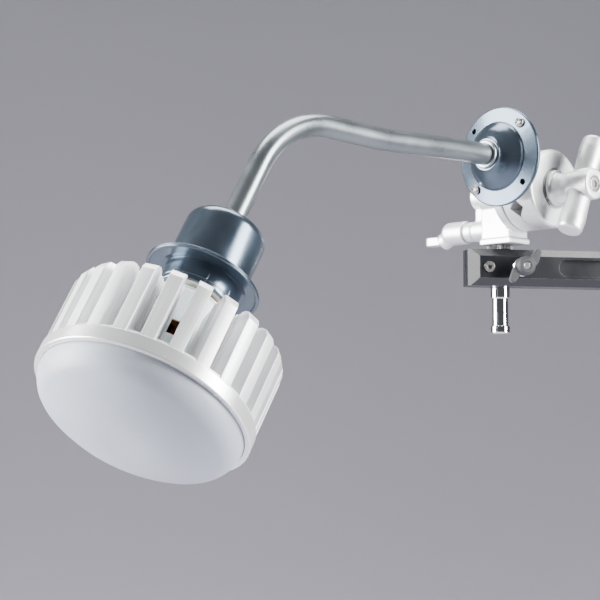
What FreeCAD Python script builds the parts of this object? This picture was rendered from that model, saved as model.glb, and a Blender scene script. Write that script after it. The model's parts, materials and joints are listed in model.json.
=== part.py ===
import FreeCAD, Part
import math
import os

# Clamp-mounted lamp: a side bar with a 16 mm stud, a grip head on the stud, and a
# gooseneck flange arm with a finned LED bulb held between the grip head's jaws.
# Millimetres, +Z up.  The origin is the middle of the 16 mm receiver at the bar's
# far end.  -X is the lamp side, -Y is the side of the large T-handle.

# ---- driving dimensions -------------------------------------------------------
STUD_R = 8.0                 # 16 mm (5/8 in) light-stand stud
FIT = 0.05                   # running fit, radial
BAR_HALF = 15.0              # half of the bar's 30 mm height and depth
BAR_CHAMFER = 6.0
BAR_REACH = 170.0            # stud axis to receiver axis
BAR_END = 29.0               # past each axis
BAR_AZIMUTH = -34.0          # the bar's turn from +X, degrees
KNOB_OFFSET = 14.0           # clamp screw beside the 16 mm bore
KNOB_REACH = 18.6            # wing tip radius
RETAINER_OFFSET = -13.3
STUD_BOTTOM = -53.5
STUD_TOP = 46.0
HEAD_BASE = 19.0             # underside of the grip head
DISC_R = 31.75               # 2.5 in grip-head discs
DISC_Z = 60.5                # height of the jaw axis
FACE_Y = -17.6               # cast disc starts here
WASHER_Y = -25.0
INNER_JAW_Y = -26.4
JAW_MID_Y = -40.0            # plane between the jaws
JAW_GAP = 1.0
OUTER_FACE_Y = -58.3
BOLT_R = 5.0
PIN_R = 6.35                 # 12.7 mm (1/2 in) mounting pin
PIN_UP = 22.5                # pin axis above the jaw axis
ROD_R = 4.8                  # rod size the lower groove is for
ROD_DOWN = 16.5
LOCK_Z = 32.5                # stud lock axis
HANDLE_Y = -85.2             # centre of the T-handle's grip
HANDLE_HALF = 42.0
HANDLE_LEAN = 25.0           # degrees from vertical
FLANGE_X = -46.2             # back plane of the wall flange
FLANGE_R = 39.8
FLANGE_PCD = 67.0
ARM_ROLL = 2.5              # the arm's roll about the pin, degrees
TUBE_R = 8.65                # 17.3 mm pipe
TUBE_WALL = 1.6
BEND_R = 85.0
LAMP_PITCH = 56.3            # lamp axis below the flange axis, degrees
ARM_SET = ((62.0, 0.0), (140.0, -1.9))   # slight bends in the straight run: along, up
ARM_CORNER = (246.2, 3.3)    # where the last straight run meets the lamp axis
BRIM_ALONG = 152.5           # corner to brim plane along the lamp axis
HOUSING_R = 29.6
HOUSING_H = 49.0
BRIM_R = 42.0
SKIN = 1.4
COLLAR_R = 28.0
COLLAR_H = 17.0
FIN_COUNT = 24
FIN_R = 77.6
FIN_TOP = 40.0
SINK_END = 96.6              # heat sink's lower face, from the brim plane
BEZEL_R = 78.5
BEZEL_H = 10.9
DOME_RISE = 33.0
CAP_R = 13.2                 # E26 screw cap
WINDOW_TURN = 130.0          # heading of the driver case's opening, degrees

V = FreeCAD.Vector
UP = V(0, 0, 1)


# ---- shape helpers -------------------------------------------------------------
def corner_edges(corners, closed):
    """Straight runs with a tangent arc at each corner that has a radius."""
    points = [V(*c[0]) for c in corners]
    radii = [c[1] for c in corners]
    count = len(points)
    starts = []
    ends = []
    arcs = []
    for i in range(count):
        here = points[i]
        inner = closed or 0 < i < count - 1
        if radii[i] <= 0 or not inner:
            starts.append(here)
            ends.append(here)
            arcs.append(None)
            continue
        back = (points[i - 1] - here).normalize()
        ahead = (points[(i + 1) % count] - here).normalize()
        half = back.getAngle(ahead) / 2.0
        reach = radii[i] / math.tan(half)
        first = here + back * reach
        last = here + ahead * reach
        centre = here + (back + ahead).normalize() * (radii[i] / math.sin(half))
        middle = centre + (here - centre).normalize() * radii[i]
        starts.append(first)
        ends.append(last)
        arcs.append(Part.Arc(first, middle, last).toShape())
    edges = []
    for i in range(count):
        if arcs[i] is not None:
            edges.append(arcs[i])
        if i == count - 1 and not closed:
            break
        nxt = (i + 1) % count
        if ends[i].distanceToPoint(starts[nxt]) > 1e-6:
            edges.append(Part.LineSegment(ends[i], starts[nxt]).toShape())
    return edges


def spun(profile):
    """Solid of revolution about Z from (radius, height[, corner radius]) points."""
    corners = [((p[0], 0, p[1]), p[2] if len(p) > 2 else 0) for p in profile]
    face = Part.Face(Part.Wire(corner_edges(corners, True)))
    return face.revolve(V(0, 0, 0), UP, 360)


def plate(outline, low, high):
    """Flat plate between two heights from (x, y[, corner radius]) points."""
    corners = [((p[0], p[1], low), p[2] if len(p) > 2 else 0) for p in outline]
    face = Part.Face(Part.Wire(corner_edges(corners, True)))
    return face.extrude(V(0, 0, high - low))


def rod(radius, low, high):
    return Part.makeCylinder(radius, high - low, V(0, 0, low))


def ring(outer, inner, low, high):
    return rod(outer, low, high).cut(rod(inner, low - 1, high + 1))


def block(x_low, x_high, y_low, y_high, z_low, z_high):
    size = (x_high - x_low, y_high - y_low, z_high - z_low)
    return Part.makeBox(size[0], size[1], size[2], V(x_low, y_low, z_low))


def hexagon(across_flats, low, high):
    radius = across_flats / math.sqrt(3)
    points = [(radius * math.cos(math.radians(60 * i)), radius * math.sin(math.radians(60 * i)))
              for i in range(6)]
    return plate(points, low, high)


def moved(shape, place):
    result = shape.copy()
    result.Placement = place.multiply(result.Placement)
    return result


def along(shape, direction, at=(0, 0, 0)):
    """Turn a shape built on +Z to point along a direction, and move it."""
    turn = FreeCAD.Rotation(UP, V(*direction))
    return moved(shape, FreeCAD.Placement(V(*at), turn))


def joined(shapes):
    result = shapes[0]
    for shape in shapes[1:]:
        result = result.fuse(shape)
    return result.removeSplitter()


def spread(shape, count, first=0.0):
    """Copies of a shape evenly turned about Z."""
    copies = []
    for i in range(count):
        copy = shape.copy()
        copy.rotate(V(0, 0, 0), UP, first + 360.0 * i / count)
        copies.append(copy)
    return copies


def group(shapes):
    return Part.makeCompound(shapes)


def save(name, shape, place):
    os.makedirs("parts", exist_ok=True)
    solids = moved(shape, place).Solids
    whole = solids[0] if len(solids) == 1 else Part.makeCompound(solids)
    whole.exportStep("parts/" + name + ".step")


# ---- frames ---------------------------------------------------------------------
BAR = FreeCAD.Placement(V(0, 0, 0), FreeCAD.Rotation(UP, BAR_AZIMUTH))
STUD_AT = BAR.multVec(V(-BAR_REACH, 0, 0))
HEAD = FreeCAD.Placement(STUD_AT, FreeCAD.Rotation())
ARM_TURN = FreeCAD.Rotation(V(1, 0, 0), -ARM_ROLL).multiply(FreeCAD.Rotation(UP, 180))
FLANGE_AT = STUD_AT + V(FLANGE_X, JAW_MID_Y, DISC_Z + PIN_UP)
ARM = FreeCAD.Placement(FLANGE_AT, ARM_TURN)
PITCH = math.radians(LAMP_PITCH)
LAMP_DIR = (math.cos(PITCH), 0, -math.sin(PITCH))
BRIM_LOCAL = V(ARM_CORNER[0], 0, ARM_CORNER[1]) + V(*LAMP_DIR) * BRIM_ALONG
LAMP = ARM.multiply(FreeCAD.Placement(BRIM_LOCAL, FreeCAD.Rotation(V(0, 1, 0), 90 + LAMP_PITCH)))
FLANGE = ARM.multiply(FreeCAD.Placement(V(0, 0, 0), FreeCAD.Rotation(V(0, 1, 0), 90)))


# ---- side bar -------------------------------------------------------------------
def bar_body():
    half = BAR_HALF
    flat = half - BAR_CHAMFER
    near = -BAR_REACH - BAR_END
    section = [(-half, -flat), (-flat, -half), (flat, -half), (half, -flat),
               (half, flat), (flat, half), (-flat, half), (-half, flat)]
    bar = along(plate(section, 0, BAR_END - near), (1, 0, 0), (near, 0, 0))
    bevel = 9.0
    side = half + 1
    plan = [(near, -side + bevel), (near + bevel, -side), (BAR_END - bevel, -side),
            (BAR_END, -side + bevel), (BAR_END, side - bevel), (BAR_END - bevel, side),
            (near + bevel, side), (near, side - bevel)]
    bar = bar.common(plate(plan, -half - 1, half + 1))
    cuts = []
    for axis_x, inward in ((-BAR_REACH, 1), (0.0, -1)):
        bore = rod(STUD_R + FIT, -half - 1, half + 1)
        bore.translate(V(axis_x, 0, 0))
        slit_ends = sorted((axis_x - inward * (BAR_END + 1), axis_x + inward * (KNOB_OFFSET + 4)))
        cuts.append(bore)
        cuts.append(block(slit_ends[0], slit_ends[1], -1, 1, -half - 1, half + 1))
        hole = rod(3.0 + FIT, -half - 1, 11)
        cuts.append(along(hole, (0, 1, 0), (axis_x + inward * KNOB_OFFSET, 0, 0)))
    retainer = rod(5.1, -half - 1, -half + 2.5).fuse(rod(2.4 + FIT, -half - 1, 9))
    cuts.append(along(retainer, (0, 1, 0), (-BAR_REACH + RETAINER_OFFSET, 0, 0)))
    start = -BAR_REACH + 46
    tall = 6.8
    pocket = [(start, -tall, tall - 0.01), (-46, -tall, tall - 0.01),
              (-46, tall, tall - 0.01), (start, tall, tall - 0.01)]
    for low, high in ((-half - 1, -half + 4), (half - 4, half + 1)):
        slot = plate(pocket, -high, -low)
        slot.rotate(V(0, 0, 0), V(1, 0, 0), 90)
        cuts.append(slot)
    return bar.cut(cuts)


def spigot():
    neck = 6.65
    waist = 6.5
    return spun([(0, STUD_BOTTOM), (STUD_R - 1, STUD_BOTTOM), (STUD_R, STUD_BOTTOM + 1),
                 (STUD_R, -47.7), (STUD_R - 0.7, -47), (neck, -47), (neck, -24.8),
                 (STUD_R - 0.7, -24.8), (STUD_R, -24.1), (STUD_R, -4.2), (waist, -4.2),
                 (waist, 4.2), (STUD_R, 4.2), (STUD_R, 26.5), (neck, 27), (neck, 36.5),
                 (STUD_R, 37), (STUD_R, STUD_TOP - 1), (STUD_R - 1, STUD_TOP), (0, STUD_TOP)])


def knurled_ring():
    teeth = 44
    outline = []
    for i in range(2 * teeth):
        radius = 10.8 if i % 2 == 0 else 10.3
        turn = math.pi * i / teeth
        outline.append((radius * math.cos(turn), radius * math.sin(turn)))
    body = plate(outline, BAR_HALF, HEAD_BASE - 0.2)
    return body.cut(rod(STUD_R + FIT, BAR_HALF - 1, HEAD_BASE + 1))


def retaining_screw():
    head = rod(4.4, -16.2, -12.6).cut(hexagon(4.0, -17, -13.8))
    return head.fuse(rod(2.4, -12.6, 8))


def wing_knob():
    """Two-wing knob about Z, wings set as an S; its top is the outer end."""
    low = 18.8
    hub = spun([(3.0, low), (7.0, low), (7.8, low + 2), (7.8, low + 9.5, 1.5), (5.5, low + 12),
                (3.0, low + 12)])
    wing = plate([(0, -4.2), (9, -4.6, 6), (KNOB_REACH - 0.5, 2.2, 2.2), (KNOB_REACH - 2.5, 6.2, 2.2),
                  (9, 3.6, 6), (0, 6.5)], low + 3, low + 9)
    wings = spread(wing, 2)
    limit = rod(KNOB_REACH, low, low + 12)
    knob = joined([hub, wings[0].common(limit), wings[1].common(limit)])
    return knob.cut(rod(3.0, low - 1, low + 20))


def clamp_screw():
    point = spun([(0, 30.4), (3.0, 30.4), (2.2, 31.2), (0, 31.2)])
    return joined([rod(3.0, -9.5, 30.4), point])


def knob_washer():
    return spun([(3.0, 15.15), (7.7, 15.15, 0.5), (7.7, 16.7, 0.5), (6.4, 18.5), (3.0, 18.5)])


def make_bar():
    face = FreeCAD.Rotation(UP, V(0, -1, 0))
    near = BAR.multiply(FreeCAD.Placement(V(-BAR_REACH + KNOB_OFFSET, 0, 0), face))
    far = BAR.multiply(FreeCAD.Placement(V(-KNOB_OFFSET, 0, 0), face))
    twist = FreeCAD.Placement(V(0, 0, 0), FreeCAD.Rotation(UP, 35))
    save("bar_body", bar_body(), BAR)
    save("spigot", spigot(), HEAD)
    save("knurled_ring", knurled_ring(), HEAD)
    screw = along(retaining_screw(), (0, 1, 0), (-BAR_REACH + RETAINER_OFFSET, 0, 0))
    save("retaining_screw", screw, BAR)
    for name, place, turn in (("near", near, twist), ("far", far, FreeCAD.Placement())):
        save(name + "_wing_knob", wing_knob(), place.multiply(turn))
        save(name + "_clamp_screw", clamp_screw(), place)
        save(name + "_knob_washer", knob_washer(), place)


# ---- grip head ------------------------------------------------------------------
def on_axis(shape, y_start=0.0):
    """Turn a shape built on +Z onto the jaw axis, +Z becoming -Y."""
    return along(shape, (0, -1, 0), (0, y_start, DISC_Z))


def head_casting():
    base = block(-12.8, 12.8, -21.5, 10.8, HEAD_BASE, 23.4)
    lower = block(-11.8, 11.8, -20, 9.8, 23.4, 38)
    column = block(-11.8, 11.8, FACE_Y, 9.8, 30, DISC_Z)
    barrel = on_axis(rod(17.0, -9.8, -FACE_Y - 0.5))
    disc = on_axis(rod(DISC_R, -FACE_Y, -WASHER_Y))
    boss = on_axis(spun([(0, -23.5), (11, -23.5, 2), (11, -9), (0, -9)]))
    rib = block(-5, 5, 9, 21.5, LOCK_Z, DISC_Z)
    lock_boss = along(rod(8.8, 9, 24.7), (0, 1, 0), (0, 0, LOCK_Z))
    body = joined([base, lower, column, barrel, disc, boss, rib, lock_boss])
    bolt_bore = on_axis(rod(BOLT_R + FIT, -30, 30))
    bolt_pocket = on_axis(rod(9.3, -30, -15))
    socket = rod(STUD_R + FIT, HEAD_BASE - 1, 47.2)
    lock_bore = along(rod(4.0 + FIT, 5, 26), (0, 1, 0), (0, 0, LOCK_Z))
    return body.cut([bolt_bore, bolt_pocket, socket, lock_bore])


def v_groove(depth):
    """Square bar on its edge along X; a jaw's share of it is one V groove."""
    side = depth * math.sqrt(2)
    bar = block(-40, 40, -side / 2, side / 2, -side / 2, side / 2)
    bar.rotate(V(0, 0, 0), V(1, 0, 0), 45)
    return bar


def jaw_grooves():
    upper = v_groove((PIN_R + 0.08) * math.sqrt(2))
    upper.translate(V(0, JAW_MID_Y, DISC_Z + PIN_UP))
    lower = v_groove(ROD_R * math.sqrt(2))
    lower.translate(V(0, JAW_MID_Y, DISC_Z - ROD_DOWN))
    return [upper, lower]


def inner_jaw():
    face = -JAW_MID_Y - JAW_GAP / 2
    disc = on_axis(spun([(0, -INNER_JAW_Y), (DISC_R, -INNER_JAW_Y, 1.2), (DISC_R, face, 0.8), (0, face)]))
    bore = on_axis(rod(BOLT_R + FIT, 20, 50))
    pocket = on_axis(rod(8.6, face - 6, face + 1))
    return disc.cut([bore, pocket] + jaw_grooves())


def outer_jaw():
    face = -JAW_MID_Y + JAW_GAP / 2
    front = -OUTER_FACE_Y
    disc = on_axis(spun([(0, face), (DISC_R, face, 0.8), (DISC_R, front, 2.4), (0, front)]))
    bore = on_axis(rod(BOLT_R + FIT, 30, 70))
    pocket = on_axis(rod(8.6, face - 1, face + 6))
    recess = on_axis(rod(16.3, front - 1.6, front + 1))
    return disc.cut([bore, pocket, recess] + jaw_grooves())


def jaw_spring():
    mean = 7.0
    wire = 0.7
    turns = 4
    pitch = 2.8
    path = Part.makeHelix(pitch, pitch * turns, mean)
    start = Part.Wire(Part.makeCircle(wire, V(mean, 0, 0), V(0, 1, 0)))
    coil = Part.Wire(path.Edges).makePipeShell([start], True, True)
    coil.translate(V(0, 0, -JAW_MID_Y - pitch * turns / 2))
    return on_axis(coil)


def centre_bolt():
    return on_axis(joined([hexagon(15, -22.6, -16.2), rod(BOLT_R, -16.3, 85.5)]))


def t_handle():
    collar = spun([(0, 59.1), (14.6, 59.1), (14.6, 61.4, 1), (11.8, 63, 0.5), (11.2, 71.4), (12.5, 77.4),
                   (12.5, 98.5, 1.5), (0, 98.5)])
    lobe = spun([(0, 0), (9.2, 0), (9.6, 14, 20), (10.7, 32, 12), (9.8, HANDLE_HALF, 2.5),
                 (0, HANDLE_HALF)])
    grips = []
    for turn in (90 - HANDLE_LEAN, 270 - HANDLE_LEAN):
        grip = lobe.copy()
        grip.rotate(V(0, 0, 0), V(0, 1, 0), 90)
        grip.rotate(V(0, 0, 0), UP, turn)
        grip.translate(V(0, 0, -HANDLE_Y))
        grips.append(grip)
    handle = joined([collar] + grips)
    handle = handle.cut([rod(BOLT_R + FIT, 50, 89.5), rod(2.6, 80, 101), rod(6.4, 95.5, 101)])
    return on_axis(handle)


def handle_screw():
    head = spun([(0, 95.5), (5.6, 95.5), (5.6, 97.9, 0.8), (0, 97.9)]).cut(hexagon(5, 96.5, 99))
    return on_axis(joined([head, rod(2.5, 89.8, 95.6)]))


def lock_handle():
    """Elbow lever on the stud lock screw, with a flat tab."""
    hub = spun([(4.0, 33.4), (9.6, 33.4, 1.5), (9.6, 57, 5), (4.0, 57)])
    hub = along(hub, (0, 1, 0), (0, 0, LOCK_Z))
    elbow = along(rod(7.2, 0, 13), (0, 0.8, -0.35), (0, 48.5, LOCK_Z - 0.8))
    tab = plate([(-5.5, 54), (5.5, 54), (5.5, 77, 4), (-5.5, 77, 4)], LOCK_Z - 8.8, LOCK_Z - 1.8)
    lever = joined([hub, elbow, tab])
    return lever.cut(along(rod(4.0, 20, 53), (0, 1, 0), (0, 0, LOCK_Z)))


def make_head():
    lock_axis = (0, 1, 0)
    lock_at = (0, 0, LOCK_Z)
    save("head_casting", head_casting(), HEAD)
    save("friction_washer", on_axis(ring(30.6, 6.0, -WASHER_Y, -INNER_JAW_Y - 0.2)), HEAD)
    save("inner_jaw", inner_jaw(), HEAD)
    save("outer_jaw", outer_jaw(), HEAD)
    save("jaw_spring", jaw_spring(), HEAD)
    save("centre_bolt", centre_bolt(), HEAD)
    save("bolt_washer", on_axis(ring(9.2, BOLT_R + FIT, -16.2, -15.2)), HEAD)
    thrust = ring(15.4, BOLT_R + FIT, -OUTER_FACE_Y - 1.6, -OUTER_FACE_Y + 0.5)
    save("thrust_washer", on_axis(thrust), HEAD)
    save("t_handle", t_handle(), HEAD)
    save("handle_screw", handle_screw(), HEAD)
    save("lock_screw", along(rod(4.0, 8.3, 53), lock_axis, lock_at), HEAD)
    collar = spun([(4.0, 25.1), (8.2, 25.1, 1), (8.2, 33.4, 1), (4.0, 33.4)])
    save("lock_collar", along(collar, lock_axis, lock_at), HEAD)
    save("lock_handle", lock_handle(), HEAD)


# ---- wall flange and arm (flange frame: +Z towards the lamp) ---------------------
def flange_shell():
    skin = 1.6
    outer = [(FLANGE_R - 1.6, 0), (FLANGE_R, 0, 0.7), (FLANGE_R, 2.2, 1.4), (27.3, 4.9, 1.0),
             (26.2, 7.2, 1.5), (21.0, 12.8, 18), (13.9, 16.4, 3), (13.0, 18.6, 1.0),
             (TUBE_R + 0.1, 18.6)]
    inner = [(TUBE_R + 0.1, 16.4), (12.2, 14.6, 2), (19.6, 11.4, 16), (24.7, 6.4, 1),
             (25.8, 3.2, 1), (FLANGE_R - skin, 0.8, 0.3)]
    shell = spun(outer + inner)
    hole = rod(2.4, -2, 10)
    hole.translate(V(FLANGE_PCD / 2, 0, 0))
    return shell.cut(spread(hole, 4, 45))


def flange_screw():
    return joined([spun([(0, 6.9), (2.0, 6.9), (4.0, 5.4), (4.0, 4.6), (0, 4.6)]), rod(2.1, -2.9, 4.6)])


def arm_path(first):
    along_axis = V(*LAMP_DIR)
    corner = V(ARM_CORNER[0], 0, ARM_CORNER[1])
    last = BRIM_LOCAL - along_axis * 41.4
    corners = [(first, 0)]
    corners += [((x, 0, z), 300.0) for x, z in ARM_SET]
    corners += [(tuple(corner), BEND_R), (tuple(last), 0)]
    return Part.Wire(corner_edges(corners, False))


def swept(radius, path):
    start = path.Edges[0].Vertexes[0].Point
    tangent = path.Edges[0].tangentAt(path.Edges[0].FirstParameter)
    ring_wire = Part.Wire(Part.makeCircle(radius, start, tangent))
    return path.makePipeShell([ring_wire], True, False)


def make_arm():
    plate_r = 37.2
    save("mount_pin", along(rod(PIN_R, -24, 41.6), (-1, 0, 0), (0, JAW_MID_Y, DISC_Z + PIN_UP)), HEAD)
    back = spun([(PIN_R, -3.0), (plate_r, -3.0, 0.5), (plate_r, -1.2), (PIN_R, -1.2)])
    hole = rod(2.1 + FIT, -8, 2)
    hole.translate(V(FLANGE_PCD / 2, 0, 0))
    back = back.fuse(spun([(PIN_R, -7.6), (9.4, -7.6), (11, -3.0), (PIN_R, -3.0)])).removeSplitter()
    holes = spread(hole, 2, 135)
    save("back_plate", back.cut(holes), FLANGE)
    pad = ring(39, 22, -1.2, 0)
    save("flange_gasket", pad.cut(holes), FLANGE)
    save("flange", flange_shell(), FLANGE)
    screw = flange_screw()
    screw.translate(V(FLANGE_PCD / 2, 0, 0))
    save("flange_screws", group(spread(screw, 2, 135)), FLANGE)
    ferrule = spun([(TUBE_R + 0.1, 18.6), (11.6, 18.6, 0.8), (11.2, 21.2, 1.2), (TUBE_R + 0.1, 21.2)])
    save("ferrule", ferrule, FLANGE)
    save("flange_locknut", hexagon(21.5, 8.0, 12.4).cut(rod(TUBE_R + 0.1, 5, 15)), FLANGE)
    path = arm_path((6.2, 0, 0))
    tube = swept(TUBE_R, path).cut(swept(TUBE_R - TUBE_WALL, path))
    save("arm_tube", tube, ARM)
    leads = []
    for side in (-1.7, 1.7):
        lead = swept(1.2, arm_path((3.8, 0, 0)))
        lead.translate(V(0, side, 0))
        leads.append(lead)
    save("supply_leads", group(leads), ARM)
    save("splice_block", plate([(-5, -8, 1.5), (5, -8, 1.5), (5, 8, 1.5), (-5, 8, 1.5)], 0.4, 3.6), FLANGE)


# ---- socket (lamp frame: origin at the brim, +Z towards the light) ----------------
def socket_housing():
    top = -HOUSING_H
    return spun([(TUBE_R + 0.1, top), (HOUSING_R, top, 9), (HOUSING_R, -1.3, 1.5), (BRIM_R, -1.3, 0.6),
                 (BRIM_R, 1.4, 0.6), (BRIM_R - 1.4, 1.4, 0.3), (BRIM_R - 1.4, 0.2, 0.3),
                 (HOUSING_R - SKIN, 0.2), (HOUSING_R - SKIN, top + SKIN, 7.6), (TUBE_R + 0.1, top + SKIN)])


def socket_body():
    shell = spun([(0, -38), (20, -38), (22.8, -35), (22.8, 8.5), (14.7, 8.5), (14.7, -28), (0, -28)])
    return shell.cut([rod(2.1, -39, -27)])


def make_socket():
    save("socket_housing", socket_housing(), LAMP)
    nut = hexagon(21.5, -45.3, -41.7).cut(rod(TUBE_R + 0.1, -50, -40))
    save("housing_locknut", nut, LAMP)
    save("socket_body", socket_body(), LAMP)
    save("screw_shell", ring(14.6, 14.1, -24, 6), LAMP)
    rivet = rod(2.0, -38.6, -27.2)
    leaf = plate([(-3, -7, 1), (3, -7, 1), (3, 7, 1), (-3, 7, 1)], -27.4, -26.6)
    save("socket_contact", joined([rivet, leaf]), LAMP)
    tag = joined([plate([(-2.4, -11.6), (2.4, -11.6), (2.4, -4.6), (-2.4, -4.6)], -38.9, -38.0),
                  rod(1.9, -41.0, -38.9).translated(V(0, -8.6, 0))])
    save("terminals", group(spread(tag, 2)), LAMP)
    collar = spun([(23.8, -7), (HOUSING_R - SKIN - 0.1, -7), (HOUSING_R - SKIN - 0.1, 0.2), (COLLAR_R, 0.2),
                   (COLLAR_R, COLLAR_H, 1.2), (23.8, COLLAR_H)])
    save("lamp_collar", collar, LAMP)
    gasket = spun([(19.2, 12.4), (23.8, 12.4), (23.8, 16.2, 1), (19.2, 16.2, 1)])
    save("collar_gasket", gasket, LAMP)


# ---- LED bulb ---------------------------------------------------------------------
def fin():
    """One fin: a radial web with stepped ribs and a flat box-shaped outer face."""
    half = [(41, 1.5), (52, 1.9), (52, 3.2), (55.2, 3.4), (55.2, 2.0), (64.2, 2.2), (65.4, 3.9),
            (69.6, 4.2), (69.6, 4.95), (FIN_R, 5.1)]
    outline = half + [(r, -w) for r, w in reversed(half)]
    return plate(outline, FIN_TOP - 2, SINK_END)


def heat_sink():
    base = ring(62, 22, SINK_END - 7, SINK_END)
    rim_plate = ring(76.8, 60, SINK_END - 2, SINK_END)
    sink = base.fuse([rim_plate] + spread(fin(), FIN_COUNT, 2.0)).removeSplitter()
    rim = rod(FIN_R + 2, FIN_TOP - 6, FIN_TOP + 14)
    crown = spun([(0, FIN_TOP - 7), (52.7, FIN_TOP - 7), (52.7, FIN_TOP), (69.5, FIN_TOP),
                  (75.0, FIN_TOP + 1.8, 2.5), (FIN_R + 0.5, FIN_TOP + 7.5),
                  (FIN_R + 0.5, FIN_TOP + 15), (0, FIN_TOP + 15)])
    inner_slope = spun([(0, FIN_TOP - 7), (52.7, FIN_TOP - 7), (52.7, FIN_TOP), (36, FIN_TOP + 10.8),
                        (0, FIN_TOP + 10.8)])
    sink = sink.cut([rim.cut(crown), inner_slope])
    pilot = rod(1.4 + FIT, SINK_END - 4, SINK_END + 1)
    pilot.translate(V(58.5, 0, 0))
    return sink.cut(spread(pilot, 6))


def driver_case():
    wall = 1.6
    neck = 18.4
    body = 31.0
    low = SINK_END - 7
    shell = spun([(12.6, 1), (12.6, 9.4), (neck, 9.4), (neck, 18.6, 1.5), (body, 25.5, 5), (body, low),
                  (body - wall, low), (body - wall, 26.8, 3.5), (neck - wall, 20, 1), (neck - wall, 11),
                  (11.0, 11), (11.0, 1)])
    window = block(25, 36, -5, 5, 52, 63.5)
    window.rotate(V(0, 0, 0), UP, WINDOW_TURN)
    return shell.cut(window)


def led_chips():
    chips = []
    for count, radius in ((6, 16.5), (12, 33.0), (18, 50.0)):
        chip = block(-2.5, 2.5, -2.5, 2.5, SINK_END + 1.6, SINK_END + 2.4)
        chip.translate(V(radius, 0, 0))
        chips += spread(chip, count, 5)
    return group(chips)


def diffuser_dome():
    rim = 74.2
    wall = 2.0
    shoulder = 13.5
    start = SINK_END + BEZEL_H - 1.4
    solids = []
    for inset in (0.0, wall):
        top = start + DOME_RISE - inset
        solids.append(spun([(0, start - 4), (rim - inset, start - 4),
                            (rim - inset, start + shoulder - 0.6 * inset, 20 - inset),
                            (38 - 0.25 * inset, top, 100 - inset), (0, top)]))
    lip = ring(75.6, rim - wall, start - 5.6, start - 4)
    return joined([solids[0].cut(solids[1]), lip])


def make_bulb():
    plate_face = SINK_END
    save("cap_shell", ring(CAP_R + 0.4, CAP_R - 0.4, -19, 4.6), LAMP)
    insulator = spun([(0, -24.4), (4.8, -24.4), (CAP_R - 1, -19.6), (CAP_R - 1, -19), (0, -19)])
    save("cap_insulator", insulator, LAMP)
    save("cap_contact", spun([(0, -25.8), (3.2, -25.8), (4.4, -24.4), (0, -24.4)]), LAMP)
    save("driver_case", driver_case(), LAMP)
    save("driver_board", block(-0.8, 0.8, -22, 22, 31, 80), LAMP)
    save("driver_capacitor", rod(6.0, 38, 62).translated(V(7.2, -9, 0)), LAMP)
    coil = joined([block(1.0, 18, 2, 19, 50, 66), block(3.0, 16, 4, 17, 45, 71)])
    save("driver_transformer", coil, LAMP)
    small = [block(-5.4, -0.9, -17, -7, 38, 47), block(-4.0, -0.9, 2, 12, 34, 41),
             rod(3.5, 52, 66).translated(V(-4.7, -10, 0)), block(-9.4, -0.9, 5, 8, 50, 68)]
    save("driver_parts", group(small), LAMP)
    leads = [rod(0.6, -18.9, 30.9).translated(V(0, 3, 0)), rod(0.6, 5, 30.9).translated(V(0, -9, 0)),
             rod(0.6, 80.1, plate_face - 0.1).translated(V(0, 6, 0)),
             rod(0.6, 80.1, plate_face - 0.1).translated(V(0, -6, 0))]
    save("driver_leads", group(leads), LAMP)
    save("heat_sink", heat_sink(), LAMP)
    board = rod(66, plate_face, plate_face + 1.6)
    screw_hole = rod(1.4 + FIT, plate_face - 1, plate_face + 3).translated(V(58.5, 0, 0))
    save("led_board", board.cut(spread(screw_hole, 6)), LAMP)
    save("led_chips", led_chips(), LAMP)
    screw = joined([rod(2.8, plate_face + 1.6, plate_face + 3.2),
                    rod(1.4, plate_face - 3.8, plate_face + 1.6)])
    screw.translate(V(58.5, 0, 0))
    save("board_screws", group(spread(screw, 6)), LAMP)
    save("diffuser_dome", diffuser_dome(), LAMP)
    bottom = plate_face + BEZEL_H
    bezel = spun([(76.2, plate_face), (BEZEL_R, plate_face, 0.5), (BEZEL_R, bottom, 1.0), (74.5, bottom, 0.3),
                  (74.5, bottom - 1.2), (76.2, bottom - 2.6)])
    save("bezel_ring", bezel, LAMP)
    save("dome_seal", ring(75.4, 69, plate_face + 0.2, bottom - 7.1), LAMP)


make_bar()
make_head()
make_arm()
make_socket()
make_bulb()
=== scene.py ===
import json
import math

import bmesh
import bpy
from bpy.props import FloatProperty, FloatVectorProperty, IntProperty, PointerProperty
from mathutils import Matrix, Vector


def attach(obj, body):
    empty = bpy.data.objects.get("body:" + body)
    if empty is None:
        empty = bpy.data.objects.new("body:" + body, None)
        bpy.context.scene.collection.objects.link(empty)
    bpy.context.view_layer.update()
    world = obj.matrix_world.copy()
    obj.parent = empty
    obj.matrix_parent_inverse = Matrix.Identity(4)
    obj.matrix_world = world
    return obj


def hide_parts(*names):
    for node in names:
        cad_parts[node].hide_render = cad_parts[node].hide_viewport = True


bl_info = {
    "name": "Clamp-Mounted Gooseneck Lamp",
    "version": (1, 0, 0),
    "blender": (4, 5, 0),
    "location": "View3D > Sidebar > Lamp",
    "description": "Finishes, detail pieces and studio for the clamp-mounted lamp",
    "category": "Object",
}

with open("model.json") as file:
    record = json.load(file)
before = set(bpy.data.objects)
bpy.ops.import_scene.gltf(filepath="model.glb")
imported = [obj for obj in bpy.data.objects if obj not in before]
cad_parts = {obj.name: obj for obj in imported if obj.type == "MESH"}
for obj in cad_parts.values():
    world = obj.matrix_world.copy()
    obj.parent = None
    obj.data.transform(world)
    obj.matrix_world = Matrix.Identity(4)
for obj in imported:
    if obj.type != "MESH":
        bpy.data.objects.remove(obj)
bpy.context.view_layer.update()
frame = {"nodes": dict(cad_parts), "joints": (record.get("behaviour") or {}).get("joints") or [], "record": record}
NODES = frame["nodes"]
JOINTS = {joint["name"]: joint for joint in frame["joints"]}
SLOT_OF = {part["node"]: part["material_slot"] for part in frame["record"]["subparts"]}
MM = 0.001

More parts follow.
